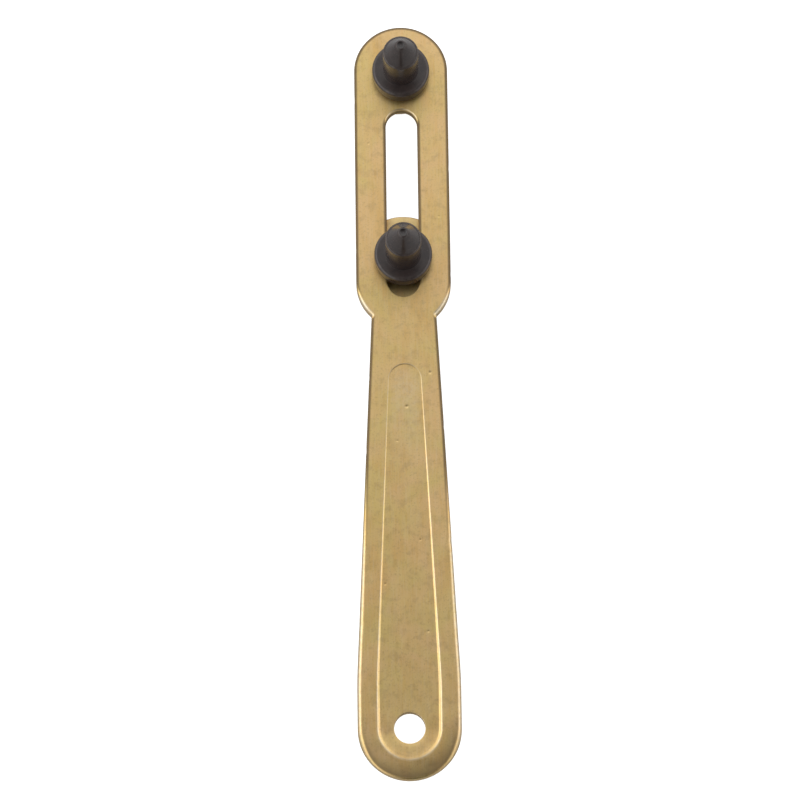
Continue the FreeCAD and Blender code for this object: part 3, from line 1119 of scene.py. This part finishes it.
def pale_floor():
    """A pale table, over-exposed to white where it is seen directly."""
    n = Nodes("pale_floor")
    tone = n.ramp(n.noise(6, 2, 0.5), (0.3, (0.56, 0.56, 0.56)), (0.7, (0.60, 0.60, 0.60)))
    n.link(tone, n.shader.inputs["Base Color"])
    seen = n.node("LightPath").outputs["Is Camera Ray"]
    n.shader.inputs["Emission Color"].default_value = (1, 1, 1, 1)
    n.link(n.math("MULTIPLY", seen, 0.90), n.shader.inputs["Emission Strength"])
    n.shader.inputs["Roughness"].default_value = 0.9
    n.shader.inputs["Specular IOR Level"].default_value = 0.1
    return n.material


# Stage -------------------------------------------------------------------------

def build_floor():
    """A level floor, just under the shanks that the tool stands on."""
    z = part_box("sliding_pin")[0].z - FLOOR_GAP
    corners = [(x * FLOOR_HALF, y * FLOOR_HALF, z) for x, y in ((-1, -1), (1, -1), (1, 1), (-1, 1))]
    mesh = bpy.data.meshes.new("floor")
    mesh.from_pydata(corners, [], [(0, 1, 2, 3)])
    floor = bpy.data.objects.new("floor", mesh)
    bpy.context.scene.collection.objects.link(floor)
    mesh.materials.append(pale_floor())


def build_camera():
    """A long lens high above the handle's end, which looks down on the top face."""
    x, y, above_face = CAMERA_PLACE
    place = Vector((x, y, above_face + TOP_Z))
    level = math.cos(CAMERA_TILT)
    forward = Vector((
        -math.sin(CAMERA_TURN) * level, math.cos(CAMERA_TURN) * level, -math.sin(CAMERA_TILT)))
    right = Vector((math.cos(CAMERA_TURN), math.sin(CAMERA_TURN), 0))
    up = right.cross(forward)
    data = bpy.data.cameras.new("camera")
    data.sensor_width = SENSOR_WIDTH
    data.lens = SENSOR_WIDTH * LENS_PIXELS / IMAGE_PIXELS
    data.clip_start = 0.01
    data.clip_end = 50
    camera = bpy.data.objects.new("camera", data)
    camera.matrix_world = Matrix((
        (right.x, up.x, -forward.x, place.x),
        (right.y, up.y, -forward.y, place.y),
        (right.z, up.z, -forward.z, place.z),
        (0, 0, 0, 1),
    ))
    bpy.context.scene.collection.objects.link(camera)
    bpy.context.scene.camera = camera


def build_lights():
    """Two large soft lights above the tool, one on each side."""
    for name, place, power in LIGHTS:
        data = bpy.data.lights.new(name, "AREA")
        data.shape = "SQUARE"
        data.size = LIGHT_SIZE
        data.energy = power
        light = bpy.data.objects.new(name, data)
        light.location = place
        aim = Vector(LIGHT_TARGET) - Vector(place)
        light.rotation_euler = aim.to_track_quat("-Z", "Y").to_euler()
        bpy.context.scene.collection.objects.link(light)


def build_world():
    """Soft light from behind and from both sides; dark towards the front."""
    world = bpy.data.worlds.new("studio")
    bpy.context.scene.world = world
    world.use_nodes = True
    tree = world.node_tree
    place = tree.nodes.new("ShaderNodeTexCoord")
    split = tree.nodes.new("ShaderNodeSeparateXYZ")
    tree.links.new(place.outputs["Generated"], split.inputs[0])

    def ranged(axis, limits, step="SMOOTHSTEP"):
        node = tree.nodes.new("ShaderNodeMapRange")
        node.interpolation_type = step
        for key, value in zip(("From Min", "From Max", "To Min", "To Max"), limits):
            node.inputs[key].default_value = value
        tree.links.new(split.outputs[axis], node.inputs["Value"])
        return node.outputs["Result"]

    def combine(operation, first, second):
        node = tree.nodes.new("ShaderNodeMath")
        node.operation = operation
        tree.links.new(first, node.inputs[0])
        tree.links.new(second, node.inputs[1])
        return node.outputs[0]

    back = ranged("Y", LIGHT_BEHIND, "LINEAR")
    both = combine("ADD", ranged("X", LIGHT_LEFT), ranged("X", LIGHT_RIGHT))
    sides = combine("MULTIPLY", both, ranged("Z", SIDE_SHARE_BY_HEIGHT))
    background = tree.nodes["Background"]
    background.inputs["Color"].default_value = (1, 1, 1, 1)
    tree.links.new(combine("MAXIMUM", back, sides), background.inputs["Strength"])


build_camera()
strap_metal = plated_metal("yellow_zinc_strap", STRAP_COLOURS, 0.30, 0.013 * MM)
fastener_metal = plated_metal("yellow_zinc_fastener", FASTENER_COLOURS, 0.36, 0.006 * MM)
pin_metal = black_oxide("black_oxide_pin")
build_strap(strap_metal)
build_pin("fixed_pin_turned", "fixed_pin", "spanner", pin_metal)
build_pin("sliding_pin_turned", "sliding_pin", "slider", pin_metal)
build_washer("fixed_plain_washer_stamped", "fixed_plain_washer", "spanner", fastener_metal)
build_spring_washer("fixed_lock_washer", "fixed_spring_washer", "spanner", fastener_metal)
build_nut("fixed_hex_nut", "fixed_nut", "spanner", FIXED_NUT_TURN, fastener_metal)
build_washer("guide_washer_stamped", "guide_washer", "clamp_washers", fastener_metal)
build_spring_washer("clamp_lock_washer", "clamp_spring_washer", "clamp_washers", fastener_metal)
build_nut("clamp_hex_nut", "clamp_nut", "clamp_nut_body", CLAMP_NUT_TURN, fastener_metal)
build_floor()
build_world()
build_lights()
bpy.context.scene.view_settings.view_transform = "Standard"
